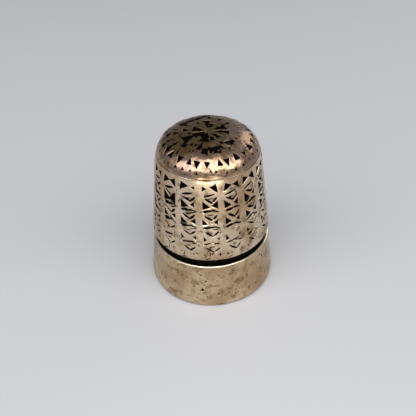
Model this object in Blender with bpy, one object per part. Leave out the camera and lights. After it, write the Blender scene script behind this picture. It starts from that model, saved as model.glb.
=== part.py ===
"""A sewing thimble of the composite kind, in metres, +Z up, standing on its mouth.

Two silver-gilt skins hold a hard steel core between them. Outside are a plain rim band round the
mouth, an engraved side shell above it, and a domed crown. A narrow groove between the band and
the shell shows the core. Inside, a thin lining lies against the core and turns outwards under it
at the foot. Solder joins the crown to the shell, and the lining's lip to the band.

Every piece is turned about Z from one body line, the outside of the thimble from its foot to its
apex. A piece's faces lie at named depths beneath that line, so the layers follow each other.
"""

import math

import bmesh
import bpy
from mathutils import Vector

SEGMENTS = 48  # facets round each turned piece, three to an engraved column
DOME_STEPS = 9  # rows of facets from the shoulder to the apex
ROUND_STEPS = 3  # facets across a small rounded edge

# The body line
HEIGHT = 0.02185
RIM_RADIUS = 0.0082
BAND_HEIGHT = 0.00665
BAND_FLARE = 0.00060  # how much narrower the band is at its top than at its foot
GROOVE_HEIGHT = 0.00115
SHELL_STEP = 0.00002  # how far the shell's foot stands out past the band's top
SHELL_TAPER = 0.00096  # how much narrower the shell is at the shoulder
DOME_RISE = 0.00435
DOME_FULLNESS = 3.1  # 2 is an ellipse, and more is squarer at the shoulder

# Sheet and solder
SKIN_WALL = 0.00040  # crown, side shell and rim band
CORE_WALL = 0.00030
LINING_WALL = 0.00020
FIT_GAP = 0.00004  # between any two pieces
SEAM_RISE = 0.00185  # from the shoulder up to where the crown meets the side shell
SEAM_WIDTH = 0.00020
LIP_HEIGHT = 0.00025
LIP_SOLDER_WIDTH = 0.00012
SOLDER_RECESS = 0.00004  # solder lies this far below the faces that it joins
FOOT_ROUND = 0.00030
EDGE_BREAK = 0.00006

# Needle pits, punched as sharp pyramids
PIT_DEPTH = 0.00022
PUNCH_CLEAR = 0.00012  # how far a punch's base stands outside the surface
COLUMN_PITCH = 0.00263  # round the shoulder, so 16 columns
STRIP_WIDTH = 0.0010  # the plain upright strips between columns
PIT_ROW_PITCH = 0.0024
PIT_ROW_TOP = 0.0008  # the top row's middle, above the shoulder
PIT_BASE = 0.00115
PIT_REACH = 0.00060
STAR_PETALS = 8
PETAL_INNER = 0.00045
PETAL_LENGTH = 0.00180
PETAL_WIDTH = 0.00062
RING_PITCH = 0.00105  # between rings of crown pits
RING_MARGIN = 0.00080  # from a ring's middle to the star or to the crown's foot
CROWN_PIT_PITCH = 0.00135  # between pits round a ring
CROWN_PIT_BASE = 0.00050
CROWN_PIT_REACH = 0.00060

BAND_TOP_RADIUS = RIM_RADIUS - BAND_FLARE
SHELL_FOOT_RADIUS = BAND_TOP_RADIUS + SHELL_STEP
SHOULDER_RADIUS = SHELL_FOOT_RADIUS - SHELL_TAPER
SHOULDER_HEIGHT = HEIGHT - DOME_RISE
SEAM_HEIGHT = SHOULDER_HEIGHT + SEAM_RISE
SHELL_FOOT = BAND_HEIGHT + GROOVE_HEIGHT
CROWN_FOOT = SEAM_HEIGHT + SEAM_WIDTH / 2
SHELL_TOP = SEAM_HEIGHT - SEAM_WIDTH / 2
CORE_FOOT = LIP_HEIGHT + FIT_GAP
CORE_OUTSIDE = SKIN_WALL + FIT_GAP
CORE_INSIDE = CORE_OUTSIDE + CORE_WALL
LINING_OUTSIDE = CORE_INSIDE + FIT_GAP
LINING_INSIDE = LINING_OUTSIDE + LINING_WALL

SLOPE_STEP = 1e-7  # metres of height either way, for reading the line's slope
WELD = 1e-8
COLUMNS = round(2 * math.pi * SHOULDER_RADIUS / COLUMN_PITCH)
COLUMN_TURN = 2 * math.pi / COLUMNS
FRONT = -math.pi / 2  # azimuth that the first column and the first petal face
SHARP_ANGLE = math.radians(35)


def clear_scene():
    for old in list(bpy.data.objects):
        bpy.data.objects.remove(old, do_unlink=True)


def between(start, end, share):
    return start + (end - start) * share


def outer_radius(height):
    """Radius of the body line at a height."""
    if height <= BAND_HEIGHT:
        share = (height - FOOT_ROUND) / (BAND_HEIGHT - FOOT_ROUND)
        return between(RIM_RADIUS, BAND_TOP_RADIUS, share)
    if height <= SHELL_FOOT:
        return between(BAND_TOP_RADIUS, SHELL_FOOT_RADIUS, (height - BAND_HEIGHT) / GROOVE_HEIGHT)
    share = (height - SHELL_FOOT) / (SHOULDER_HEIGHT - SHELL_FOOT)
    side = between(SHELL_FOOT_RADIUS, SHOULDER_RADIUS, share)
    if height <= SHOULDER_HEIGHT:
        return side
    rise = min(1, (height - SHOULDER_HEIGHT) / (HEIGHT - SHOULDER_HEIGHT))
    return side * (1 - rise**DOME_FULLNESS) ** (1 / DOME_FULLNESS)


def slope(height):
    """Change of the line's radius for each metre of height."""
    above, below = outer_radius(height + SLOPE_STEP), outer_radius(height - SLOPE_STEP)
    return (above - below) / (2 * SLOPE_STEP)


def beneath(height, depth):
    """Section point (radius, height) at a depth square beneath the body line."""
    if height >= HEIGHT - SLOPE_STEP:
        return 0, HEIGHT - depth
    lean = slope(height)
    square = math.hypot(1, lean)
    return outer_radius(height) - depth / square, height + depth * lean / square


def foot_radius(height, depth):
    """Radius at a level cut through the band's straight wall, at a depth beneath the line."""
    return outer_radius(height) - depth * math.hypot(1, slope(height))


def dome_heights(low):
    """Heights on the dome from the apex down to low, closer together where it bends most."""
    start = math.asin(((low - SHOULDER_HEIGHT) / (HEIGHT - SHOULDER_HEIGHT)) ** (DOME_FULLNESS / 2))
    turns = [between(math.pi / 2, start, step / DOME_STEPS) for step in range(DOME_STEPS)]
    rises = [math.sin(turn) ** (2 / DOME_FULLNESS) for turn in turns]
    return [between(SHOULDER_HEIGHT, HEIGHT, rise) for rise in rises] + [low]


def metal(name, colour, roughness):
    """A metal from an sRGB colour given as three numbers from 0 to 1."""
    material = bpy.data.materials.new(name)
    material.use_nodes = True
    shader = material.node_tree.nodes["Principled BSDF"]
    linear = [((part + 0.055) / 1.055) ** 2.4 for part in colour]
    shader.inputs["Base Color"].default_value = (*linear, 1)
    shader.inputs["Metallic"].default_value = 1
    shader.inputs["Roughness"].default_value = roughness
    return material


def turned(name, section, material, parent, ring):
    """A solid turned from a half section of (radius, height) points, running down its outside.

    A ring's section is closed on itself. Any other section starts and ends on the axis.
    """
    bm = bmesh.new()
    verts = [bm.verts.new((radius, 0, height)) for radius, height in section]
    ends = verts[1:] + verts[:1] if ring else verts[1:]
    edges = [bm.edges.new(pair) for pair in zip(verts, ends)]
    bmesh.ops.spin(
        bm,
        geom=verts + edges,
        cent=(0, 0, 0),
        axis=(0, 0, 1),
        angle=2 * math.pi,
        steps=SEGMENTS,
        use_merge=True,
    )
    bmesh.ops.remove_doubles(bm, verts=bm.verts, dist=WELD)
    bmesh.ops.recalc_face_normals(bm, faces=bm.faces)
    return finished(name, bm, material, parent)


def finished(name, bm, material, parent):
    mesh = bpy.data.meshes.new(name)
    bm.to_mesh(mesh)
    bm.free()
    mesh.shade_smooth()
    mesh.set_sharp_from_angle(angle=SHARP_ANGLE)
    if material:
        mesh.materials.append(material)
    piece = bpy.data.objects.new(name, mesh)
    piece.parent = parent
    bpy.context.scene.collection.objects.link(piece)
    return piece


def surface_frame(height, azimuth):
    """The outside surface's point, and its across, up and outward directions, at an azimuth."""
    lean = slope(height)
    spoke = Vector((math.cos(azimuth), math.sin(azimuth), 0))
    across = Vector((-math.sin(azimuth), math.cos(azimuth), 0))
    outward = (spoke - Vector((0, 0, lean))).normalized()
    point = spoke * outer_radius(height) + Vector((0, 0, height))
    return point, across, outward.cross(across), outward


def add_punch(bm, frame, corners):
    """One three-sided punch. Corners are (across, up) points of the pit's mouth, about the frame."""
    point, across, up, outward = frame
    middle = sum((Vector(corner) for corner in corners), Vector((0, 0))) / len(corners)
    grow = (PIT_DEPTH + PUNCH_CLEAR) / PIT_DEPTH
    mouth = []
    for corner in corners:
        side, rise = middle + (Vector(corner) - middle) * grow
        mouth.append(bm.verts.new(point + across * side + up * rise + outward * PUNCH_CLEAR))
    tip = bm.verts.new(point + across * middle.x + up * middle.y - outward * PIT_DEPTH)
    bm.faces.new(mouth)
    for first, second in zip(mouth, mouth[1:] + mouth[:1]):
        bm.faces.new((second, first, tip))


def punch_through(piece, bm):
    """Cuts all the punches in a mesh out of a piece."""
    bmesh.ops.recalc_face_normals(bm, faces=bm.faces)
    cutter = finished(piece.name + "_punches", bm, None, piece.parent)
    cutter.hide_render = True
    cutter.display_type = "WIRE"
    cut = piece.modifiers.new("needle pits", "BOOLEAN")
    cut.operation = "DIFFERENCE"
    cut.solver = "EXACT"
    cut.object = cutter


def side_punches():
    """Two facing pits in each cell, with their bases along the plain strips."""
    bm = bmesh.new()
    top = SHOULDER_HEIGHT + PIT_ROW_TOP
    rows = int((top - PIT_BASE / 2 - SHELL_FOOT) / PIT_ROW_PITCH) + 1
    for row in range(rows):
        height = top - row * PIT_ROW_PITCH
        edge = (COLUMN_TURN * outer_radius(height) - STRIP_WIDTH) / 2
        for column in range(COLUMNS):
            frame = surface_frame(height, FRONT + column * COLUMN_TURN)
            for side in (-1, 1):
                base = [(side * edge, end * PIT_BASE / 2) for end in (-1, 1)]
                add_punch(bm, frame, base + [(side * (edge - PIT_REACH), 0)])
    return bm


def dome_height(radius):
    """Height on the dome where its line has a radius, found by halving."""
    low, high = SHOULDER_HEIGHT, HEIGHT
    while high - low > SLOPE_STEP:
        middle = (low + high) / 2
        low, high = (middle, high) if outer_radius(middle) > radius else (low, middle)
    return low


def crown_punches():
    """A star of petals round the apex, and rings of small pits pointing in and out by turns."""
    bm = bmesh.new()
    for petal in range(STAR_PETALS):
        height = dome_height(PETAL_INNER + PETAL_LENGTH / 2)
        frame = surface_frame(height, FRONT + petal * 2 * math.pi / STAR_PETALS)
        wide, tip = -PETAL_LENGTH / 2, PETAL_LENGTH / 2
        add_punch(bm, frame, [(-PETAL_WIDTH / 2, wide), (PETAL_WIDTH / 2, wide), (0, tip)])
    radius = PETAL_INNER + PETAL_LENGTH + RING_MARGIN
    point = 1
    while radius < outer_radius(CROWN_FOOT) - RING_MARGIN:
        count = round(2 * math.pi * radius / CROWN_PIT_PITCH)
        for step in range(count):
            frame = surface_frame(dome_height(radius), FRONT + step * 2 * math.pi / count)
            base, tip = -point * CROWN_PIT_REACH / 2, point * CROWN_PIT_REACH / 2
            ends = [(end * CROWN_PIT_BASE / 2, base) for end in (-1, 1)]
            add_punch(bm, frame, ends + [(0, tip)])
        radius += RING_PITCH
        point = -point
    return bm


def skin_section(low, high, rows):
    """Section of a skin between two heights, its outer edges broken, as a ring."""
    outside = [beneath(height, 0) for height in rows]
    top = [beneath(high, EDGE_BREAK), beneath(high - EDGE_BREAK, 0)]
    foot = [beneath(low + EDGE_BREAK, 0), beneath(low, EDGE_BREAK)]
    inside = [beneath(height, SKIN_WALL) for height in [low, *reversed(rows), high]]
    return top + outside + foot + inside


def make_crown(material, parent):
    rows = dome_heights(CROWN_FOOT)
    outside = [beneath(height, 0) for height in rows[:-1]]
    foot = [beneath(CROWN_FOOT + EDGE_BREAK, 0), beneath(CROWN_FOOT, EDGE_BREAK)]
    inside = [beneath(height, SKIN_WALL) for height in reversed(rows)]
    crown = turned("crown_cap", outside + foot + inside, material, parent, ring=False)
    punch_through(crown, crown_punches())


def make_shell(material, parent):
    shoulder = [height for height in dome_heights(SHOULDER_HEIGHT) if height < SHELL_TOP - EDGE_BREAK]
    section = skin_section(SHELL_FOOT, SHELL_TOP, shoulder)
    punch_through(turned("engraved_shell", section, material, parent, ring=True), side_punches())


def make_band(material, parent):
    turns = [math.pi / 2 * step / ROUND_STEPS for step in range(ROUND_STEPS + 1)]
    centre = RIM_RADIUS - FOOT_ROUND
    foot = [
        (centre + FOOT_ROUND * math.cos(turn), FOOT_ROUND * (1 - math.sin(turn))) for turn in turns
    ]
    top = [beneath(BAND_HEIGHT, EDGE_BREAK), beneath(BAND_HEIGHT - EDGE_BREAK, 0)]
    inside = [(foot_radius(0, SKIN_WALL), 0), beneath(BAND_HEIGHT, SKIN_WALL)]
    turned("rim_band", top + foot + inside, material, parent, ring=True)


def make_core(material, parent):
    rows = dome_heights(SHOULDER_HEIGHT) + [SHELL_FOOT, BAND_HEIGHT]
    outside = [beneath(height, CORE_OUTSIDE) for height in rows]
    foot = [(foot_radius(CORE_FOOT, depth), CORE_FOOT) for depth in (CORE_OUTSIDE, CORE_INSIDE)]
    inside = [beneath(height, CORE_INSIDE) for height in reversed(rows)]
    turned("steel_core", outside + foot + inside, material, parent, ring=False)


def make_lining(material, parent):
    rows = dome_heights(SHOULDER_HEIGHT) + [SHELL_FOOT, BAND_HEIGHT]
    lip_edge = foot_radius(0, SKIN_WALL) - 2 * FIT_GAP - LIP_SOLDER_WIDTH
    outside = [beneath(height, LINING_OUTSIDE) for height in rows]
    lip = [
        (foot_radius(LIP_HEIGHT, LINING_OUTSIDE), LIP_HEIGHT),
        (lip_edge, LIP_HEIGHT),
        (lip_edge, 0),
        (foot_radius(0, LINING_INSIDE) + EDGE_BREAK, 0),
        (foot_radius(EDGE_BREAK, LINING_INSIDE), EDGE_BREAK),
    ]
    inside = [beneath(height, LINING_INSIDE) for height in reversed(rows)]
    turned("inner_lining", outside + lip + inside, material, parent, ring=False)


def make_crown_solder(material, parent):
    high, low = CROWN_FOOT - FIT_GAP, SHELL_TOP + FIT_GAP
    section = [
        beneath(high, SOLDER_RECESS),
        beneath(low, SOLDER_RECESS),
        beneath(low, SKIN_WALL),
        beneath(high, SKIN_WALL),
    ]
    turned("crown_solder", section, material, parent, ring=True)


def make_lip_solder(material, parent):
    outside = foot_radius(0, SKIN_WALL) - FIT_GAP
    inside = outside - LIP_SOLDER_WIDTH
    top_outside = foot_radius(LIP_HEIGHT, SKIN_WALL) - FIT_GAP
    section = [
        (top_outside, LIP_HEIGHT),
        (top_outside, SOLDER_RECESS),
        (inside, SOLDER_RECESS),
        (inside, LIP_HEIGHT),
    ]
    turned("lip_solder", section, material, parent, ring=True)


def main():
    clear_scene()
    frame = bpy.data.objects.new("thimble", None)
    bpy.context.scene.collection.objects.link(frame)
    worn_gilt = metal("worn silver-gilt", (0.70, 0.61, 0.50), 0.35)
    lining_gilt = metal("lining silver-gilt", (0.74, 0.68, 0.58), 0.30)
    steel = metal("blackened steel", (0.09, 0.08, 0.07), 0.60)
    solder = metal("silver solder", (0.52, 0.47, 0.40), 0.45)
    make_crown(worn_gilt, frame)
    make_crown_solder(solder, frame)
    make_shell(worn_gilt, frame)
    make_band(worn_gilt, frame)
    make_core(steel, frame)
    make_lining(lining_gilt, frame)
    make_lip_solder(solder, frame)


main()
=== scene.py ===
# %% [markdown]
# # A worn silver-gilt thimble
#
# This lesson makes the looks of an old sewing thimble around a plain model that already has the
# right sizes. The thimble is three thin cups, one inside the other: an outer skin of silver-gilt,
# a hard steel core, and a silver-gilt lining. The outer skin is in three parts, a plain rim band,
# an engraved side and a domed crown. Each part is turned here as fine sheet metal, then cut with
# punches and gravers as the maker cut it, and then given the tarnish and wear of a century.

# %% Load the plain model
import math
import random

import bpy
from mathutils import Matrix, Vector
from mathutils.bvhtree import BVHTree
from mathutils.kdtree import KDTree


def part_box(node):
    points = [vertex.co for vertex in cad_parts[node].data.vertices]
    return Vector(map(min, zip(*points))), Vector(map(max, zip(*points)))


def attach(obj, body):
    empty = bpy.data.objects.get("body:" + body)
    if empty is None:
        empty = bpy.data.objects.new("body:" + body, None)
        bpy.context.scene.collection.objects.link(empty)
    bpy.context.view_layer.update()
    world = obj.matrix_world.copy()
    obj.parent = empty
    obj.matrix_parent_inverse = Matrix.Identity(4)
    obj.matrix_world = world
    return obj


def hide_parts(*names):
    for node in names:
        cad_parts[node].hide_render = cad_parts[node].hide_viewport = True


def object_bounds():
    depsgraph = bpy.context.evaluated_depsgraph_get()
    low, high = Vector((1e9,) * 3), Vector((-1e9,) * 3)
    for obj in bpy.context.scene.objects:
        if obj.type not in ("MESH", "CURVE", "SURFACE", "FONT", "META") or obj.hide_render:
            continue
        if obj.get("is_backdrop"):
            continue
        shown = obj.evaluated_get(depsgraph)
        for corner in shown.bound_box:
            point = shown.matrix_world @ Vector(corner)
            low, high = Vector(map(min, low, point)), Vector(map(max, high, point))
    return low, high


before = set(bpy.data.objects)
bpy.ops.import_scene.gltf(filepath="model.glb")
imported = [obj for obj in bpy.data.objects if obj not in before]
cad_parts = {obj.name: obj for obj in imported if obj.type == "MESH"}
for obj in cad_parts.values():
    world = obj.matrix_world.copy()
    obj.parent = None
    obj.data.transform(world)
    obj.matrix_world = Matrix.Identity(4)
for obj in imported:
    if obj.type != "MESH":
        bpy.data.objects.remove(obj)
cad_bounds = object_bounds()
print("plain nodes:", sorted(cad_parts))

# %% [markdown]
# ## The body line
#
# Every part of a thimble is turned about one axis, so one line from the foot to the apex gives the
# outside of all of them. The plain model's boxes give its main heights and radii. The straight
# sides, and the dome's squarish curve, are rebuilt from those, so that the fine parts lie exactly
# where the plain ones do.

# %% Sizes read from the plain model, in metres
MM = 0.001
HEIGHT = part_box("crown_cap")[1].z
RIM_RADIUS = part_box("rim_band")[1].x
BAND_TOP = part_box("rim_band")[1].z
SHELL_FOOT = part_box("engraved_shell")[0].z
SHELL_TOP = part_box("engraved_shell")[1].z
SHELL_FOOT_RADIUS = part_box("engraved_shell")[1].x
CROWN_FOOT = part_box("crown_cap")[0].z
CORE_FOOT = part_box("steel_core")[0].z
LIP_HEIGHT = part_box("lip_solder")[1].z
LIP_SOLDER_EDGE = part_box("lip_solder")[1].x
LINING_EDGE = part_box("inner_lining")[1].x
FOOT_ROUND = 0.30 * MM
BAND_FLARE = 0.60 * MM
SHELL_TAPER = 0.96 * MM
DOME_RISE = 4.35 * MM
DOME_FULLNESS = 3.1
SKIN = 0.40 * MM
FIT_GAP = 0.04 * MM
CORE_DEPTHS = (SKIN + FIT_GAP, SKIN + FIT_GAP + 0.30 * MM)
LINING_DEPTHS = (CORE_DEPTHS[1] + FIT_GAP, CORE_DEPTHS[1] + FIT_GAP + 0.20 * MM)
SHOULDER = HEIGHT - DOME_RISE
print(f"height {HEIGHT / MM:.2f} mm, rim {2 * RIM_RADIUS / MM:.2f} mm across, groove "
      f"{BAND_TOP / MM:.2f} to {SHELL_FOOT / MM:.2f} mm up")


# %% The line itself
def between(start, end, share):
    return start + (end - start) * share


def outer_radius(height):
    """Radius of the body line at a height."""
    if height <= BAND_TOP:
        return RIM_RADIUS - BAND_FLARE * (height - FOOT_ROUND) / (BAND_TOP - FOOT_ROUND)
    if height <= SHELL_FOOT:
        share = (height - BAND_TOP) / (SHELL_FOOT - BAND_TOP)
        return between(RIM_RADIUS - BAND_FLARE, SHELL_FOOT_RADIUS, share)
    side = SHELL_FOOT_RADIUS - SHELL_TAPER * (height - SHELL_FOOT) / (SHOULDER - SHELL_FOOT)
    if height <= SHOULDER:
        return side
    rise = min(1, (height - SHOULDER) / DOME_RISE)
    return side * (1 - rise**DOME_FULLNESS) ** (1 / DOME_FULLNESS)


def slope(height):
    step = 0.0001 * MM
    return (outer_radius(height + step) - outer_radius(height - step)) / (2 * step)


def beneath(height, depth):
    """Section point (radius, height) at a depth square beneath the line."""
    if height > HEIGHT - 0.001 * MM:
        return 0, HEIGHT - depth
    lean = slope(height)
    square = math.hypot(1, lean)
    return outer_radius(height) - depth / square, height + depth * lean / square


def dome_rows(low, count):
    """Heights from the apex down to low, closer together where the dome bends most."""
    start = math.asin(((low - SHOULDER) / DOME_RISE) ** (DOME_FULLNESS / 2))
    turns = [between(math.pi / 2, start, step / count) for step in range(count)]
    return [between(SHOULDER, HEIGHT, math.sin(turn) ** (2 / DOME_FULLNESS)) for turn in turns] + [low]


def even_rows(high, low, count):
    return [between(high, low, step / count) for step in range(count + 1)]


print(f"shoulder radius {outer_radius(SHOULDER) / MM:.2f} mm at {SHOULDER / MM:.2f} mm")

# %% [markdown]
# ## Turning sheet metal
#
# A thimble is drawn from a flat disc through steel dies, and finished on a lathe, so every part is
# round. In Blender the same shape comes from a half section spun about the axis. The section is
# drawn by extruding one point from place to place, as a pen would. Spin makes the wall, the point
# where start and end meet is merged, and the normals are made to face outwards.

# %% A helper that turns a half section
SEGMENTS = 192
WELD = 1e-8


def use(piece):
    """Makes a piece the only selected and the active object."""
    bpy.ops.object.select_all(action="DESELECT")
    piece.select_set(True)
    bpy.context.view_layer.objects.active = piece


def at_origin(piece):
    """Puts the piece's place, turn and scale into its mesh."""
    use(piece)
    bpy.ops.object.transform_apply(location=True, rotation=True, scale=True)


def turned(name, section, ring):
    """A piece turned from (radius, height) points. A ring's section closes on itself."""
    points = [Vector((radius, 0, height)) for radius, height in section]
    bpy.ops.object.select_all(action="DESELECT")
    bpy.ops.mesh.primitive_plane_add(size=MM, location=points[0])
    piece = bpy.context.object
    piece.name = piece.data.name = name
    bpy.ops.object.mode_set(mode="EDIT")
    bpy.ops.mesh.select_all(action="SELECT")
    bpy.ops.mesh.merge(type="CENTER")
    for start, end in zip(points, points[1:] + points[:1] if ring else points[1:]):
        bpy.ops.mesh.extrude_region_move(TRANSFORM_OT_translate={"value": end - start})
    bpy.ops.mesh.select_all(action="SELECT")
    bpy.ops.mesh.remove_doubles(threshold=WELD)
    bpy.ops.mesh.spin(steps=SEGMENTS, angle=2 * math.pi, center=(0, 0, 0), axis=(0, 0, 1))
    bpy.ops.mesh.select_all(action="SELECT")
    bpy.ops.mesh.remove_doubles(threshold=WELD)
    bpy.ops.mesh.normals_make_consistent(inside=False)
    bpy.ops.object.mode_set(mode="OBJECT")
    at_origin(piece)
    print(f"{name}: {len(piece.data.polygons)} faces")
    return piece


# %% [markdown]
# ## Hammered and worn by hand
#
# A new thimble is smooth, but an old one has been pushed, dropped and rubbed for years. The outer
# skins are pushed in and out by a few hundredths of a millimetre, softly, over patches a few
# millimetres wide. A Displace modifier does this with a clouds texture. It acts only on a group of
# the outer points, so the wall behind stays true and the parts still fit.

# %% A helper that wears a skin
SEED = 7


def is_outside(spot):
    """Whether a point of an outer skin lies in the outer half of its wall."""
    return math.hypot(spot.x, spot.y) > beneath(spot.z, SKIN / 2)[0] or spot.z > HEIGHT - SKIN / 2


def wear(piece, patch, strength, low=0.0):
    """Displaces the points of a skin's outside, above a height, over patches of a given size."""
    outside = piece.vertex_groups.new(name="outside")
    for vertex in piece.data.vertices:
        if vertex.co.z > low and is_outside(vertex.co):
            outside.add([vertex.index], 1, "REPLACE")
    clouds = bpy.data.textures.new(piece.name + "_wear", "CLOUDS")
    clouds.noise_scale = patch
    clouds.noise_depth = 1
    push = piece.modifiers.new("wear", "DISPLACE")
    push.texture = clouds
    push.texture_coords = "LOCAL"
    push.vertex_group = outside.name
    push.strength = strength
    push.mid_level = 0.5
    use(piece)
    bpy.ops.object.modifier_apply(modifier=push.name)


# %% [markdown]
# ## Punches and gravers
#
# The needle pits are struck with a small three-sided punch, and the strokes between them are pushed
# with a graver, which lifts a sliver and leaves a narrow boat-shaped groove. Both tools are made
# once as a cone, point down. A copy is laid on the surface by moving its corners to the places
# where they belong. The copies are joined in one or two groups, and a Boolean cuts each group away.

# %% The two tools
TOOL_CLEAR = 0.10 * MM
STROKE_SIDES = 8


def cone_tool(name, sides):
    bpy.ops.object.select_all(action="DESELECT")
    bpy.ops.mesh.primitive_cone_add(vertices=sides, radius1=1, radius2=0, depth=1)
    tool = bpy.context.object
    tool.name = name
    return tool


punch = cone_tool("punch", 3)
graver = cone_tool("graver", STROKE_SIDES)
print("tools:", punch.name, "and", graver.name)


# %% Where a tool is laid
def surface_frame(height, azimuth):
    """Point, across, up and outward at a height and an azimuth, in degrees from the front."""
    turn = math.radians(azimuth)
    spoke = Vector((math.sin(turn), -math.cos(turn), 0))
    across = Vector((math.cos(turn), math.sin(turn), 0))
    outward = (spoke - Vector((0, 0, slope(height)))).normalized()
    return spoke * outer_radius(height) + Vector((0, 0, height)), across, outward.cross(across), outward


def laid(place, flat, lift):
    """World point at (across, up) millimetres from a place, lifted along its outward direction."""
    point, across, up, outward = place
    return point + across * flat.x * MM + up * flat.y * MM + outward * lift


def copy_tool(tool, name, corners):
    """A copy of a cone whose base corners 0, 1, 2 and tip go to four world points."""
    base = [vertex.co for vertex in tool.data.vertices][:3]
    tip = max((vertex.co for vertex in tool.data.vertices), key=lambda spot: spot.z)
    source = Matrix([(*spot, 1) for spot in [*base, tip]]).transposed()
    target = Matrix([(*spot, 1) for spot in corners]).transposed()
    move = target @ source.inverted()
    mesh = tool.data.copy()
    mesh.transform(move)
    if move.determinant() < 0:
        mesh.flip_normals()
    copied = bpy.data.objects.new(name, mesh)
    bpy.context.scene.collection.objects.link(copied)
    return copied


# %% One pit and one stroke
def strike(place, corners, depth):
    """One punched pit: three (across, up) corners in millimetres, and its depth in millimetres."""
    flats = [Vector(corner) for corner in corners]
    middle = sum(flats, Vector((0, 0))) / 3
    grow = 1 + TOOL_CLEAR / (depth * MM)
    mouth = [laid(place, middle + (flat - middle) * grow, TOOL_CLEAR) for flat in flats]
    return copy_tool(punch, "pit", mouth + [laid(place, middle, -depth * MM)])


def stroke(place, start, end, width, depth):
    """One graver stroke from start to end, both (across, up) in millimetres, deepest past halfway."""
    start, end = Vector(start), Vector(end)
    middle, along = (start + end) / 2, (end - start) / 2
    side = Vector((-along.y, along.x)).normalized() * width / 2
    grow = 1 + TOOL_CLEAR / (depth * MM)
    corners = []
    for corner in range(3):
        turn = 2 * math.pi * corner / STROKE_SIDES
        flat = middle + (along * math.cos(turn) + side * math.sin(turn)) * grow
        corners.append(laid(place, flat, TOOL_CLEAR))
    return copy_tool(graver, "stroke", corners + [laid(place, middle + along * 0.25, -depth * MM)])


# %% A helper that cuts a skin
def join(pieces, name):
    bpy.ops.object.select_all(action="DESELECT")
    for piece in pieces:
        piece.select_set(True)
    bpy.context.view_layer.objects.active = pieces[0]
    bpy.ops.object.join()
    bpy.context.object.name = name
    return bpy.context.object


def engrave(piece, cuts):
    """Cuts the tools' shapes out of a piece, and stores how deep each point then lies."""
    points = [vertex.co.copy() for vertex in piece.data.vertices]
    faces = [tuple(face.vertices) for face in piece.data.polygons if is_outside(face.center)]
    uncut = BVHTree.FromPolygons(points, faces)
    for number, group in enumerate(cuts):
        cutter = join(group, f"{piece.name}_cuts_{number}")
        cut = piece.modifiers.new("engraving", "BOOLEAN")
        cut.operation = "DIFFERENCE"
        cut.solver = "EXACT"
        cut.use_self = True
        cut.object = cutter
        use(piece)
        bpy.ops.object.modifier_apply(modifier=cut.name)
        bpy.data.objects.remove(cutter)
    store_depth(piece, uncut)
    print(f"{piece.name}: {sum(map(len, cuts))} cuts, {len(piece.data.polygons)} faces")


# %% What each point remembers of the cuts
DEPTH_NAME = "cut_depth"
GRIME_NAME = "grime"
GRIME_REACH = 0.35  # millimetres from a cut over which the grime fades to a third


def store(piece, name, values):
    piece.data.attributes.new(name, "FLOAT", "POINT").data.foreach_set("value", values)


def store_depth(piece, uncut):
    """Stores each point's depth under the uncut skin, in millimetres, and the grime of cuts near it."""
    depths = [uncut.find_nearest(vertex.co)[3] / MM for vertex in piece.data.vertices]
    bottoms = [vertex.co for vertex, depth in zip(piece.data.vertices, depths) if depth > 0.03]
    tree = KDTree(len(bottoms))
    for number, spot in enumerate(bottoms):
        tree.insert(spot, number)
    tree.balance()
    grime = []
    for vertex in piece.data.vertices:
        gaps = [gap / MM / GRIME_REACH for _, _, gap in tree.find_n(vertex.co, 3)]
        grime.append(sum(math.exp(-gap) for gap in gaps) / 3)
    store(piece, DEPTH_NAME, depths)
    store(piece, GRIME_NAME, grime)


def smooth(piece, angle=35):
    use(piece)
    bpy.ops.object.shade_smooth_by_angle(angle=math.radians(angle))


# %% [markdown]
# ## The engraved side shell
#
# Sixteen plain upright strips divide the side into columns. Down each strip, at even steps, the
# engraver set a point from which the cuts fan out: two wedges at the very top, then in each row a
# pair of three-sided pits against the strips, and between the rows fine strokes that rise and fall
# from strip to strip. Everything was cut by eye, so no two cells match, and the finger has worn the
# lower rows until only slivers are left. The cells are made by a loop, with seeded random changes.

# %% Turn the side shell
COLUMNS = 16
COLUMN_DEGREES = 360 / COLUMNS
STRIP_HALF = 0.38  # millimetres from a strip's middle to the pits beside it
ROW_PITCH = 2.4 * MM
FIRST_ROW = SHOULDER + 0.82 * MM

shell_rows = [row for row in dome_rows(SHOULDER, 24) if row < SHELL_TOP]
shell_rows += even_rows(SHOULDER, SHELL_FOOT, 44)[1:]
top_edge = [beneath(SHELL_TOP, 0.02 * MM), beneath(SHELL_TOP - 0.03 * MM, 0.005 * MM)]
foot_edge = [beneath(SHELL_FOOT + 0.03 * MM, 0.03 * MM), beneath(SHELL_FOOT, 0.10 * MM)]
shell_section = top_edge + [beneath(row, 0) for row in shell_rows[:-1]] + foot_edge
shell_section += [beneath(row, SKIN) for row in (SHELL_FOOT, SHOULDER, shell_rows[0], SHELL_TOP)]
shell = turned("side_shell", shell_section, ring=True)
wear(shell, patch=1.6 * MM, strength=0.05 * MM, low=SHELL_FOOT + 0.2 * MM)

# %% A seeded hand
dice = random.Random(SEED)


def shake(amount):
    return dice.uniform(-amount, amount)


def shaken(corners, amount):
    return [(x + shake(amount), y + shake(amount)) for x, y in corners]


def mirrored(corners, side):
    return [(side * x, y) for x, y in corners]


# %% The shapes of a cell's pits
def wedge(side, edge):
    """A top-row wedge, broad towards the middle of the cell, its point down beside the strip."""
    return mirrored([(edge - 0.02, 0.66), (edge - 0.94, 0.02), (edge + 0.30, -1.00)], side)


def pit(side, edge, wide, tall):
    """A pit with its upright base against the strip and its point to the middle, low down."""
    point = (edge - 0.98 * wide, -0.30 if side < 0 else -0.06)
    return mirrored([(edge + 0.06, 0.80 * tall), (edge + 0.02, -0.78 * tall), point], side)


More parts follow.
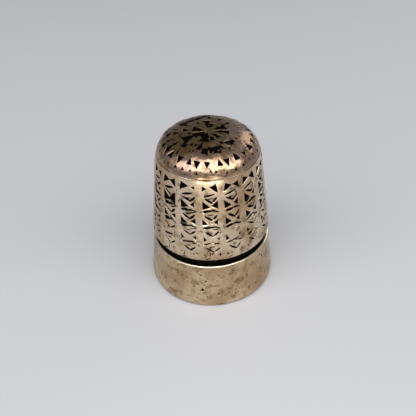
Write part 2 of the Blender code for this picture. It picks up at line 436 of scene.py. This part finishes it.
# %% How worn each row is
# Depth of each row's pits in millimetres, their width and height against a fresh pit's, and the
# share of its strokes that are left
ROW_WEAR = (
    (0.30, 1, 1, 1), (0.31, 1, 1, 1), (0.28, 0.9, 0.95, 1),
    (0.22, 0.62, 0.86, 0.9), (0.16, 0.38, 0.6, 0.78),
)
# How large the left and right pits are in the cells from -56 to 56 degrees, row by row
FRONT_CELLS = {
    -2: ((1.0, 1.0), (1.3, 1.3), (0.9, 0.8), (0.7, 0.5), (0.5, 0.5)),
    -1: ((1.15, 0.5), (1.15, 0.6), (1.0, 0.8), (0.9, 0.8), (0.8, 0.9)),
    0: ((0.6, 1.0), (1.0, 0.95), (0.9, 0.7), (1.1, 0.6), (0.8, 1.0)),
    1: ((1.05, 0.85), (1.05, 0.75), (1.05, 0.7), (1.0, 0.6), (1.1, 0.5)),
    2: ((1.0, 1.0), (1.05, 0.7), (1.0, 0.8), (0.9, 0.4), (0.5, 0.6)),
}


def pit_sizes(row, column):
    offset = (column + COLUMNS // 2) % COLUMNS - COLUMNS // 2
    return FRONT_CELLS.get(offset, {row: (dice.uniform(0.9, 1.15), dice.uniform(0.6, 1))})[row]


# %% The cuts of one cell
def stroke_lines(row, edge):
    """Each stroke's start and end from the cell's middle, and its width, in millimetres."""
    lift = 0.12 * row
    return (
        ((-edge - 0.30, 0.94 + lift), (0.78, 1.48 + lift), 0.38),
        ((-edge + 0.08, 0.98 + lift / 2), (0.32, 0.28), 0.36),
        ((0.14, 0.26), (edge - 0.04, 1.12), 0.34),
        ((0.00, 0.90 + lift), (edge + 0.10, 1.20 + lift), 0.20),
        ((-edge - 0.30, -1.00), (-0.12, -0.62), 0.30),
        ((0.10, -0.66), (edge + 0.30, -0.96), 0.28),
        ((-0.50, 0.62 + lift), (0.44, 0.78 + lift), 0.18),
    )


def cell_cuts(row, column):
    """The pits of one cell, and from the second row down its strokes. Fine strokes wear off first."""
    height = FIRST_ROW - row * ROW_PITCH
    place = surface_frame(height, column * COLUMN_DEGREES + shake(0.5))
    edge = math.radians(COLUMN_DEGREES) * outer_radius(height) / MM / 2 - STRIP_HALF
    depth, wide, tall, kept = ROW_WEAR[row]
    pits, strokes = [], []
    for side, size in zip((-1, 1), pit_sizes(row, column)):
        corners = wedge(side, edge) if row == 0 else pit(side, edge, wide, tall)
        middle_x, middle_y = (sum(corner[axis] for corner in corners) / 3 for axis in (0, 1))
        corners = [(middle_x + (x - middle_x) * size, middle_y + (y - middle_y) * size) for x, y in corners]
        pits.append(strike(place, shaken(corners, 0.08), depth * dice.uniform(0.85, 1.1)))
    if row == 0:
        return pits, strokes
    for start, end, width in stroke_lines(row, edge):
        if dice.random() < kept * (1 if width > 0.22 else 0.6):
            start, end = shaken([start, end], 0.10)
            width *= kept * dice.uniform(0.85, 1.2)
            strokes.append(stroke(place, start, end, width, 0.24 * kept * dice.uniform(0.8, 1.2)))
    return pits, strokes


# %% Ticks along the foot, and stray scratches
def foot_tick(azimuth):
    """A short upright tick near the shell's foot."""
    tall, lean = dice.uniform(0.2, 0.45), shake(0.12)
    last_row = FIRST_ROW - 4 * ROW_PITCH
    place = surface_frame(last_row - dice.uniform(0.05, 0.35) * MM, azimuth)
    return stroke(place, (-lean, -tall), (lean, tall), 0.14, 0.09)


def scratch():
    """A fine stray line, anywhere on the engraved part of the side."""
    place = surface_frame(dice.uniform(SHELL_FOOT + 0.8 * MM, SHOULDER + 1.2 * MM), dice.uniform(-180, 180))
    turn, half = dice.uniform(-1.2, 1.2), dice.uniform(0.20, 0.50)
    end = (half * math.cos(turn), half * math.sin(turn))
    return stroke(place, (-end[0], -end[1]), end, dice.uniform(0.08, 0.15), 0.07)


# %% Cut the shell
TICKS, SCRATCHES = 40, 150
shell_pits, shell_strokes = [], []
for row in range(len(ROW_WEAR)):
    for column in range(COLUMNS):
        pits, strokes = cell_cuts(row, column)
        shell_pits += pits
        shell_strokes += strokes
shell_pits += [foot_tick(tick * 360 / TICKS + shake(3)) for tick in range(TICKS)]
shell_strokes += [scratch() for _ in range(SCRATCHES)]
# One deep nick in the foot's edge, on the left
nick = surface_frame(SHELL_FOOT + 0.5 * MM, -77)
shell_pits.append(stroke(nick, (0, -0.45), (0.04, 0.55), 0.24, 0.20))
engrave(shell, [shell_pits, shell_strokes])

# %% [markdown]
# ## The crown
#
# The crown is a separate dome soldered to the side. Its top was cut with a star of long petals, and
# rings of smaller pits run round it down to the shoulder: a zigzag that points up and down by turns,
# and a line of small pits under it. The top is darker, partly with tarnish and partly with painted
# shade that reaches down its left side, and the shoulder, which rubs on cloth and in the workbox, is
# bright.

# %% Turn the crown
crown_rows = dome_rows(CROWN_FOOT, 44)
crown_section = [beneath(row, 0) for row in crown_rows[:-1]]
crown_section += [beneath(CROWN_FOOT + 0.03 * MM, 0.005 * MM), beneath(CROWN_FOOT, 0.02 * MM)]
crown_section += [beneath(row, SKIN) for row in [CROWN_FOOT, *dome_rows(CROWN_FOOT, 12)[::-1][1:]]]
crown = turned("crown", crown_section, ring=False)
wear(crown, patch=1.2 * MM, strength=0.12 * MM, low=CROWN_FOOT + 0.2 * MM)

# %% The star's petals and the blots round it
# Each petal's direction in degrees from the front, its inner and outer ends and width in millimetres
PETALS = (
    (-63, 0.1, 3.4, 0.85), (-109, 0.1, 1.9, 0.60), (180, 0.6, 2.4, 0.50), (158, 0.5, 1.8, 0.46),
    (113, 0.7, 2.4, 0.75), (84, 0.5, 2.7, 0.50), (46, 0.4, 2.0, 0.42), (19, 1.0, 2.1, 0.42),
    (-11, 0.3, 2.3, 0.80), (-40, 0.3, 1.4, 0.40),
)
PETAL_SPREAD = 2.1  # how much wider a petal's mouth is than its black floor
# Each blot's direction, radius, width and length, broad end outwards where the length is positive
BLOTS = (
    (-103, 2.5, 0.60, 0.8), (-125, 2.7, 0.30, 0.8), (-84, 2.0, 0.40, 0.5), (-150, 2.1, 0.40, 0.8),
    (34, 2.75, 0.70, 0.7), (50, 3.35, 0.60, 0.8), (42, 3.40, 0.50, -0.8), (-17, 2.75, 0.60, 1.1),
    (-36, 2.95, 0.50, 0.5), (-27, 3.15, 0.40, -0.4), (-19, 3.35, 0.50, 0.5), (-4, 3.45, 0.65, 0.5),
    (-10, 3.55, 0.40, -0.4), (1, 3.15, 0.35, 0.4), (14, 3.85, 0.70, 0.5), (68, 3.50, 0.30, 0.5),
    (-52, 3.3, 0.50, 0.6), (-66, 3.9, 0.40, 0.9), (-80, 3.2, 0.40, 0.6), (-95, 3.7, 0.50, 0.8),
    (125, 2.8, 0.50, 0.7), (150, 2.9, 0.50, 0.7), (175, 3.3, 0.50, 0.6), (-160, 3.2, 0.60, 0.7),
    (-66, 4.75, 0.75, 0.8), (-97, 4.6, 0.80, 0.8), (-48, 4.5, 0.35, 0.9), (-80, 4.4, 0.35, 1.0),
)
BLOT_SPREAD = 1.3  # how much wider a blot's mouth is than its black floor


def dome_height(radius):
    """Height on the dome where its line has a radius, found by halving."""
    low, high = SHOULDER, HEIGHT
    while high - low > 0.0005 * MM:
        middle = (low + high) / 2
        low, high = (middle, high) if outer_radius(middle) > radius else (low, middle)
    return low


def petal(azimuth, inner, outer, width):
    """A long wedge in two strikes, narrow at the middle of the star and broad at its outer end."""
    middle = (inner + outer) / 2
    halves = []
    for near, far, share in ((inner, middle + 0.2, 0.7), (middle - 0.3, outer, 1.0)):
        place = surface_frame(dome_height((near + far) / 2 * MM), azimuth)
        reach = (far - near) / 2
        half = width * PETAL_SPREAD * share / 2
        corners = [(-half, -reach), (half, -reach * 0.9), (shake(0.05), reach)]
        halves.append(strike(place, corners, 0.33))
    return halves


def blot(azimuth, radius, width, length):
    place = surface_frame(dome_height(radius * MM), azimuth)
    half, reach = width * BLOT_SPREAD / 2, length * BLOT_SPREAD / 2
    corners = [(-half, -reach), (half, -reach), (0, reach)]
    return strike(place, shaken(corners, 0.10), 0.30)


crown_cuts = [half for row in PETALS for half in petal(*row)] + [blot(*row) for row in BLOTS]
print("cuts on the crown's top:", len(crown_cuts))

# %% The rings round the crown, and the cut
# The zigzag's radius in millimetres, its count, and its pits' size and depth in millimetres
ZIGZAG_RADIUS, ZIGZAG_PITS, ZIGZAG_SIZE, ZIGZAG_DEPTH = 5.30, 27, 1.10, 0.26
LOWER_RADIUS, LOWER_PITS = 5.95, 34  # the same for the small pits below it
HATCHES = 18  # short strokes between the blots and the zigzag

for step in range(ZIGZAG_PITS):
    point = 1 if step % 2 else -1
    height = dome_height((ZIGZAG_RADIUS - point * 0.14 + shake(0.1)) * MM)
    place = surface_frame(height, (step + shake(0.2)) * 360 / ZIGZAG_PITS)
    size = ZIGZAG_SIZE * dice.uniform(0.7, 1.25)
    corners = [(-size / 2, -point * size / 2), (size / 2, -point * size / 2), (0, point * size / 2)]
    crown_cuts.append(strike(place, shaken(corners, 0.09), ZIGZAG_DEPTH * dice.uniform(0.7, 1.2)))
for step in range(LOWER_PITS):
    height = dome_height((LOWER_RADIUS + shake(0.15)) * MM)
    place = surface_frame(height, (step + shake(0.3)) * 360 / LOWER_PITS)
    size = dice.uniform(0.25, 0.6)
    corners = shaken([(-size / 2, -size / 2), (size / 2, -size / 2), (0, size / 2)], 0.12)
    crown_cuts.append(strike(place, corners, 0.16))
for step in range(HATCHES):
    azimuth = step * 360 / HATCHES + shake(8)
    place = surface_frame(dome_height(dice.uniform(3.9, 4.5) * MM), azimuth)
    tall = dice.uniform(0.2, 0.4)
    crown_cuts.append(stroke(place, (-0.1, -tall), (0.1 + shake(0.1), tall), 0.2, 0.14))
engrave(crown, [crown_cuts[0::2], crown_cuts[1::2]])

# %% [markdown]
# ## The rim band, the core, the lining and the solder
#
# The band is the one plain part. Its top edge is turned a little, so it catches the light above the
# groove, and its foot is rounded. The steel core shows only as the dark floor of the groove, and
# the lining only from below. Thin rings of solder close the crown's seam and the lining's lip.

# %% Turn the rim band
FOOT_RISE = 0.60 * MM  # the foot's rounding starts this high
band_rows = even_rows(BAND_TOP - 0.18 * MM, FOOT_RISE, 30)
foot_turns = [math.pi / 2 * step / 8 for step in range(1, 9)]
band_section = [beneath(BAND_TOP, 0.20 * MM), beneath(BAND_TOP - 0.03 * MM, 0.09 * MM)]
band_section += [beneath(BAND_TOP - 0.09 * MM, 0.02 * MM)]
band_section += [beneath(row, 0) for row in band_rows]
band_section += [
    (outer_radius(FOOT_RISE) - FOOT_ROUND * (1 - math.cos(turn)), FOOT_RISE * (1 - math.sin(turn)))
    for turn in foot_turns
]
inner_foot = outer_radius(0) - SKIN * math.hypot(1, slope(FOOT_ROUND))
band_section += [(inner_foot, 0), beneath(BAND_TOP, SKIN)]
band = turned("plain_band", band_section, ring=True)
wear(band, patch=2.4 * MM, strength=0.05 * MM, low=0.5 * MM)

# %% Small marks in the band
# Azimuth in degrees from the front, height and size in millimetres
SPECKS = (
    (-11, 5.3, 0.20), (-6, 4.3, 0.17), (-8, 3.7, 0.17), (-10.5, 2.9, 0.26), (-15, 1.5, 0.18),
    (-5.5, 1.7, 0.18), (5, 2.2, 0.20), (11, 1.8, 0.18), (15, 2.2, 0.15), (21, 1.8, 0.17),
    (23, 1.8, 0.16), (52, 5.7, 0.26), (56, 5.3, 0.26), (-35, 6.0, 0.20), (-62, 5.2, 0.20),
    (44, 1.8, 0.20), (-44, 1.4, 0.20), (-38, 3.3, 0.15),
)
SPECK_SPREAD = 1.8  # how much wider a speck's mouth is than its black floor
specks = []
for azimuth, height, floor_size in SPECKS:
    size = floor_size * SPECK_SPREAD
    corners = shaken([(-size / 2, -size / 2), (size / 2, -size / 2), (0, size / 2)], size / 4)
    specks.append(strike(surface_frame(height * MM, azimuth), corners, 0.14))
engrave(band, [specks])

# %% Turn the core
cup_rows = dome_rows(SHOULDER, 24) + [SHELL_FOOT, BAND_TOP]
foot_slope = math.hypot(1, slope(FOOT_ROUND))


def level(height, depth):
    """Radius at a level cut through the straight wall near the foot."""
    return outer_radius(height) - depth * foot_slope


core_section = [beneath(row, CORE_DEPTHS[0]) for row in cup_rows]
core_section += [(level(CORE_FOOT, depth), CORE_FOOT) for depth in CORE_DEPTHS]
core_section += [beneath(row, CORE_DEPTHS[1]) for row in cup_rows[::-1]]
core = turned("hard_core", core_section, ring=False)

# %% Turn the lining
LIP_ROUND = 0.05 * MM
lining_section = [beneath(row, LINING_DEPTHS[0]) for row in cup_rows]
lining_section += [(level(LIP_HEIGHT, LINING_DEPTHS[0]), LIP_HEIGHT)]
lining_section += [(LINING_EDGE, LIP_HEIGHT), (LINING_EDGE, 0)]
lining_section += [(level(0, LINING_DEPTHS[1]) + LIP_ROUND, 0)]
lining_section += [(level(LIP_ROUND, LINING_DEPTHS[1]), LIP_ROUND)]
lining_section += [beneath(row, LINING_DEPTHS[1]) for row in cup_rows[::-1]]
lining = turned("finger_lining", lining_section, ring=False)

# %% Turn the solder
SEAM_LOW, SEAM_HIGH = SHELL_TOP + 0.10 * MM, CROWN_FOOT + 0.06 * MM
SEAM_SINK = 0.02 * MM  # how far the solder lies under the skins
solder_section = [beneath(SEAM_HIGH, SEAM_SINK), beneath(SEAM_LOW, SEAM_SINK)]
solder_section += [beneath(SEAM_LOW, SKIN), beneath(SEAM_HIGH, SKIN)]
crown_seam = turned("crown_seam", solder_section, ring=True)

lip_section = [(LIP_SOLDER_EDGE, LIP_HEIGHT), (LIP_SOLDER_EDGE, FIT_GAP)]
lip_section += [(LINING_EDGE + FIT_GAP, FIT_GAP), (LINING_EDGE + FIT_GAP, LIP_HEIGHT)]
lip_seam = turned("lip_seam", lip_section, ring=True)

for tool in (punch, graver):
    bpy.data.objects.remove(tool)
for piece in (shell, crown, band, core, lining, crown_seam, lip_seam):
    smooth(piece)

# %% [markdown]
# ## Materials
#
# Silver-gilt is silver with a skin of gold so thin that a century of use rubs it to a pale, warm
# tan. What is left of the tarnish sits where the finger never rubs, so the cuts are nearly black
# at the bottom, and brown grime clings to the metal beside them. The depth and grime stored with
# each point drive that change. Noise at three real sizes gives the broad fading of the gilt, worn
# patches and small stains, and a fine bump gives the grain that spreads the reflections.

# %% Colour and node helpers
def linear(hex_colour):
    """Linear RGBA from an sRGB hex string."""
    parts = [int(hex_colour[at : at + 2], 16) / 255 for at in (1, 3, 5)]
    return (*[part / 12.92 if part <= 0.04045 else ((part + 0.055) / 1.055) ** 2.4 for part in parts], 1)


def add(tree, kind, output, inputs=None, **settings):
    """Adds a node and gives one output. Inputs map a socket to a value or to another node's output."""
    node = tree.nodes.new(kind)
    for name, value in settings.items():
        setattr(node, name, value)
    for socket, value in (inputs or {}).items():
        if isinstance(value, bpy.types.NodeSocket):
            tree.links.new(value, node.inputs[socket])
        else:
            node.inputs[socket].default_value = value
    return node.outputs[output]


NOISE, RANGE, MIX, MATH = "ShaderNodeTexNoise", "ShaderNodeMapRange", "ShaderNodeMix", "ShaderNodeMath"
SOFT_STEP = {"interpolation_type": "SMOOTHSTEP"}
# A Mix node has a set of sockets for each kind of data. On plain values it mixes inputs 2 and 3 into
# output 0, on colours inputs 6 and 7 into output 2, and in both its share is input 0.
COLOURS = {"data_type": "RGBA"}


def metal_start(name):
    """A new material, its node tree, its Principled shader and the Object coordinates."""
    material = bpy.data.materials.new(name)
    material.use_nodes = True
    tree = material.node_tree
    place = add(tree, "ShaderNodeTexCoord", "Object")
    return material, tree, tree.nodes["Principled BSDF"], place


# %% Faded gilt
PALE_GILT = linear("#CDB796")
WARM_GILT = linear("#B39673")
OLD_GILT = linear("#7A6344")
STAIN = linear("#49331F")
BARE_SILVER = linear("#9E8576")
THIN_GILT = linear("#D8C4AA")


def faded_gilt(tree, place, rubbed_colour, age, stains):
    """Patches of warm gilt, of old gilt and of stain over the rubbed colour."""
    # Patch size, detail, where the patches start and are full, their strength and their colour
    layers = (
        (4.5 * MM, 3, 0.35, 0.65, 1, WARM_GILT),
        (1.1 * MM, 4, 0.66 - age, 0.86 - age, 0.75, OLD_GILT),
        (0.45 * MM, 5, 0.72 - stains, 0.80 - stains, 0.7, STAIN),
    )
    gilt = rubbed_colour
    for size, detail, start, full, strength, patch_colour in layers:
        share = add(tree, NOISE, "Fac", {"Vector": place, "Scale": 1 / size, "Detail": detail})
        spread = {"Value": share, "From Min": start, "From Max": full, "To Max": strength}
        share = add(tree, RANGE, "Result", spread, **SOFT_STEP)
        gilt = add(tree, MIX, 2, {0: share, 6: gilt, 7: patch_colour}, **COLOURS)
    return gilt


# %% The crown's darker top, with its painted shade, and the band's painted edge highlight
# Partly tarnish, partly painted shade: the brown sits left of the apex and darkens the dome's left side
TOP_TARNISH_AND_SHADE = linear("#6B5633")
DARK_TOP_CENTRE = (-1.9 * MM, 0.4 * MM, HEIGHT)
TOP_DRIFT = 1.5 * MM  # size of the noise that moves the dark top's edge about
# Painted highlight: a bright silver colour along the band's top edge
EDGE_HIGHLIGHT_COLOUR = linear("#DDCDB2")


def tarnish_and_painted_shade_on_top(tree, place, gilt):
    """Brown over the top of the dome, fading out at a wandering distance from a point left of the apex:
    partly tarnish, partly painted shade on the dome's left side.
    """
    distance = {0: place, 1: DARK_TOP_CENTRE}
    away = add(tree, "ShaderNodeVectorMath", "Value", distance, operation="DISTANCE")
    drift = add(tree, NOISE, "Fac", {"Vector": place, "Scale": 1 / TOP_DRIFT, "Detail": 3})
    drift = add(tree, MATH, 0, {0: drift, 1: 2 * MM}, operation="MULTIPLY")
    away = add(tree, MATH, 0, {0: away, 1: drift}, operation="ADD")
    fade = {"Value": away, "From Min": 4.5 * MM, "From Max": 6.3 * MM, "To Min": 0.85, "To Max": 0}
    share = add(tree, RANGE, "Result", fade, **SOFT_STEP)
    return add(tree, MIX, 2, {0: share, 6: gilt, 7: TOP_TARNISH_AND_SHADE}, **COLOURS)


def paint_edge_highlight(tree, place, gilt, start):
    """A painted highlight: bright silver colour above a height, along the band's top edge."""
    height = add(tree, "ShaderNodeSeparateXYZ", "Z", {"Vector": place})
    fade = {"Value": height, "From Min": start, "From Max": start + 0.08 * MM}
    share = add(tree, RANGE, "Result", fade, **SOFT_STEP)
    return add(tree, MIX, 2, {0: share, 6: gilt, 7: EDGE_HIGHLIGHT_COLOUR}, **COLOURS)


# %% Grime and black tarnish
TARNISH = linear("#0F0A07")
RAGGED_GRIME, RAGGED_EDGE = 0.5 * MM, 0.3 * MM  # sizes of the noise that frays their outlines


def grimy(tree, place, gilt):
    """Brown grime near the cuts, in ragged patches."""
    near = add(tree, "ShaderNodeAttribute", "Fac", attribute_name=GRIME_NAME)
    ragged = add(tree, NOISE, "Fac", {"Vector": place, "Scale": 1 / RAGGED_GRIME, "Detail": 3})
    spread = {"Value": ragged, "From Min": 0.3, "From Max": 0.7, "To Min": 0.5, "To Max": 1.5}
    ragged = add(tree, RANGE, "Result", spread, **SOFT_STEP)
    near = add(tree, MATH, 0, {0: near, 1: ragged}, operation="MULTIPLY")
    spread = {"Value": near, "From Min": 0.25, "From Max": 1, "To Max": 0.8}
    share = add(tree, RANGE, "Result", spread, **SOFT_STEP)
    return add(tree, MIX, 2, {0: share, 6: gilt, 7: STAIN}, **COLOURS)


def cut_share(tree, place):
    """1 wherever the surface lies some hundredths of a millimetre below the uncut skin, 0 on it."""
    depth = add(tree, "ShaderNodeAttribute", "Fac", attribute_name=DEPTH_NAME)
    ragged = add(tree, NOISE, "Fac", {"Vector": place, "Scale": 1 / RAGGED_EDGE, "Detail": 3})
    ragged = add(tree, MATH, 0, {0: ragged, 1: 0.012}, operation="MULTIPLY")
    depth = add(tree, MATH, 0, {0: depth, 1: ragged}, operation="SUBTRACT")
    return add(tree, RANGE, "Result", {"Value": depth, "From Min": 0, "From Max": 0.015}, **SOFT_STEP)


# %% Worn silver-gilt
RUBBING = 0.8 * MM  # size of the patches that the finger has made smoother
GRAIN = 0.12 * MM  # real polishing marks are finer, and this is as coarse as they need to be to show


def worn_gilt(name, age, stains, rubbed_colour=PALE_GILT, dark_top=False, highlight_start=None):
    """Rubbed silver-gilt. Age moves its tone to the darker gilt, and stains is the share stained.

    A dark top is the crown's, partly tarnish and partly painted shade, and above highlight_start, a height,
    the band's edge gets a painted highlight.
    """
    material, tree, shader, place = metal_start(name)
    gilt = faded_gilt(tree, place, rubbed_colour, age, stains)
    if dark_top:
        gilt = tarnish_and_painted_shade_on_top(tree, place, gilt)
    if highlight_start:
        gilt = paint_edge_highlight(tree, place, gilt, highlight_start)
    gilt = grimy(tree, place, gilt)
    cut = cut_share(tree, place)
    colour = add(tree, MIX, 2, {0: cut, 6: gilt, 7: TARNISH}, **COLOURS)

    # Where the finger rubs it is smoother, and in the cuts it is dull
    rubbed = add(tree, NOISE, "Fac", {"Vector": place, "Scale": 1 / RUBBING, "Detail": 3})
    spread = {"Value": rubbed, "From Min": 0.3, "From Max": 0.7, "To Min": 0.17, "To Max": 0.30}
    rubbed = add(tree, RANGE, "Result", spread, **SOFT_STEP)
    roughness = add(tree, MIX, 0, {0: cut, 2: rubbed, 3: 0.8})
    grain = add(tree, NOISE, "Fac", {"Vector": place, "Scale": 1 / GRAIN, "Detail": 4})
    relief = {"Strength": 0.5, "Distance": 0.006 * MM, "Height": grain}
    tree.links.new(colour, shader.inputs["Base Color"])
    tree.links.new(roughness, shader.inputs["Roughness"])
    shader.inputs["Metallic"].default_value = 1
    tree.links.new(add(tree, "ShaderNodeBump", "Normal", relief), shader.inputs["Normal"])
    return material


def finish_with(piece, material):
    piece.data.materials.clear()
    piece.data.materials.append(material)
    print(f"{piece.name}: {material.name}")


finish_with(shell, worn_gilt("rubbed silver-gilt, engraved", 0.14, 0.10, THIN_GILT))
# The crown's dark top is partly tarnish, partly painted shade on its left side
finish_with(crown, worn_gilt("rubbed silver-gilt, crown", 0.16, 0.14, BARE_SILVER, dark_top=True))
# The band's top edge gets a painted highlight
finish_with(band, worn_gilt("rubbed silver-gilt, plain", 0.16, 0.12, highlight_start=BAND_TOP - 0.16 * MM))


# %% Blackened steel, lining gilt and solder
def plain_metal(name, dark, light, size, low, high):
    """A metal between two colours in patches of a real size, its roughness changing with them.

    Blackened steel is nearly black and dull, the drawn lining is a soft shine that the finger keeps
    clean, and solder is a greyer, rougher line than the gilt beside it.
    """
    material, tree, shader, place = metal_start(name)
    patches = add(tree, NOISE, "Fac", {"Vector": place, "Scale": 1 / size, "Detail": 4})
    share = add(tree, RANGE, "Result", {"Value": patches, "From Min": 0.35, "From Max": 0.65}, **SOFT_STEP)
    colour = add(tree, MIX, 2, {0: share, 6: dark, 7: light}, **COLOURS)
    spread = {"Value": patches, "From Min": 0.3, "From Max": 0.7, "To Min": low, "To Max": high}
    roughness = add(tree, RANGE, "Result", spread, **SOFT_STEP)
    grain = add(tree, NOISE, "Fac", {"Vector": place, "Scale": 6 / size, "Detail": 3})
    relief = {"Strength": 0.5, "Distance": 0.01 * MM, "Height": grain}
    tree.links.new(colour, shader.inputs["Base Color"])
    tree.links.new(roughness, shader.inputs["Roughness"])
    shader.inputs["Metallic"].default_value = 1
    tree.links.new(add(tree, "ShaderNodeBump", "Normal", relief), shader.inputs["Normal"])
    return material


BLACKED, WORN_BLACK = linear("#050404"), linear("#14100D")
LINING_DARK, LINING_LIGHT = linear("#B9A07D"), linear("#D8C3A4")
SOLDER_DARK, SOLDER_GREY = linear("#2A211A"), linear("#6B5A48")
RUBBED_SOLDER, SOLDER_GILT = linear("#8A7458"), linear("#C0A98A")
finish_with(core, plain_metal("blackened steel", BLACKED, WORN_BLACK, 0.6 * MM, 0.6, 0.8))
finish_with(lining, plain_metal("drawn silver-gilt", LINING_DARK, LINING_LIGHT, 2 * MM, 0.25, 0.4))
finish_with(lip_seam, plain_metal("tarnished solder", SOLDER_DARK, SOLDER_GREY, 0.5 * MM, 0.4, 0.6))
finish_with(crown_seam, plain_metal("rubbed solder", RUBBED_SOLDER, SOLDER_GILT, 0.5 * MM, 0.3, 0.5))

# %% Each piece takes its CAD node's place
STANDS_FOR = (
    (shell, "engraved_shell", "outer_skin"),
    (crown, "crown_cap", "outer_skin"),
    (band, "rim_band", "outer_skin"),
    (core, "steel_core", "core"),
    (lining, "inner_lining", "lining"),
    (crown_seam, "crown_solder", "solder"),
    (lip_seam, "lip_solder", "solder"),
)
for piece, node, finish_slot in STANDS_FOR:
    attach(piece, "root")
    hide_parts(node)
    print(f"{piece.name} stands for {node}")

# %% [markdown]
# ## The stage
#
# The thimble stands on a plain pale sheet under soft light, seen from about forty degrees above.
# A wide soft light above and in front gives the bright band round the shoulder. A small one,
# low in front, gives the square glint at the top of the engraving, and between the two the room
# is dim, which leaves the dark band between them.

# %% The sheet: matt paper, a little grey
bpy.ops.object.select_all(action="DESELECT")
bpy.ops.mesh.primitive_plane_add(size=3, location=(0, 0, 0))
floor = bpy.context.object
floor.name = "floor"
floor_material = bpy.data.materials.new("pale sheet")
floor_material.use_nodes = True
floor_shader = floor_material.node_tree.nodes["Principled BSDF"]
floor_shader.inputs["Base Color"].default_value = linear("#A3A5A5")
floor_shader.inputs["Roughness"].default_value = 0.7
finish_with(floor, floor_material)
floor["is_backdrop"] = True


# %% The lights
def soft_light(name, centre, aim, size, radiance, colour):
    """A rectangular light at centre, facing aim, with the radiance that its surface shows."""
    light = bpy.data.lights.new(name, "AREA")
    light.shape = "RECTANGLE"
    light.size, light.size_y = size
    light.energy = radiance * math.pi * size[0] * size[1]
    light.color = linear(colour)[:3]
    lamp = bpy.data.objects.new(name, light)
    lamp.location = centre
    lamp.rotation_euler = (Vector(aim) - Vector(centre)).to_track_quat("-Z", "Y").to_euler()
    lamp.visible_camera = False
    bpy.context.scene.collection.objects.link(lamp)
    print(f"{name}: {light.energy:.2f} W")


soft_light("overhead softbox", (0.06, -0.38, 0.48), (0.06, -0.38, 0), (1.9, 0.60), 4.0, "#FBF9FF")
soft_light("low front window", (0, -0.075, 0.014), (0, 0, 0.014), (0.060, 0.022), 6.0, "#FFFCF0")
soft_light("back right panel", (0.44, 0.42, 0.26), (0, 0, 0.02), (0.44, 0.28), 1.4, "#FFF8F2")

world = bpy.data.worlds.new("room")
world.use_nodes = True
world.node_tree.nodes["Background"].inputs["Color"].default_value = linear("#F6F8FF")
world.node_tree.nodes["Background"].inputs["Strength"].default_value = 0.37
bpy.context.scene.world = world
bpy.context.scene.view_settings.view_transform = "Standard"

# %% The camera
CAMERA_RISE = math.radians(39.5)
CAMERA_DISTANCE = 85 * MM
LENS = 56.45
AIM = Vector((0, 0, 10.15 * MM))
TURN, TILT, ROLL = math.radians(0.193), math.radians(0.101), math.radians(2.16)

camera = bpy.data.objects.new("camera", bpy.data.cameras.new("camera"))
camera.data.lens = LENS
camera.data.clip_start = 0.001
back = Vector((0, -math.cos(CAMERA_RISE), math.sin(CAMERA_RISE)))
camera.location = AIM + back * CAMERA_DISTANCE
facing = back.to_track_quat("Z", "Y").to_matrix()
small_turns = Matrix.Rotation(TURN, 3, "Y") @ Matrix.Rotation(-TILT, 3, "X")
small_turns = small_turns @ Matrix.Rotation(-ROLL, 3, "Z")
camera.rotation_euler = (facing @ small_turns).to_euler()
bpy.context.scene.collection.objects.link(camera)
bpy.context.scene.camera = camera
print(f"camera {CAMERA_DISTANCE / MM:.0f} mm away, lens {LENS} mm")

# %% Sizes, and the end
visual_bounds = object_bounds()
corners = {"cad": cad_bounds, "visual": visual_bounds}
print("plain model", cad_bounds, "visual model", visual_bounds)
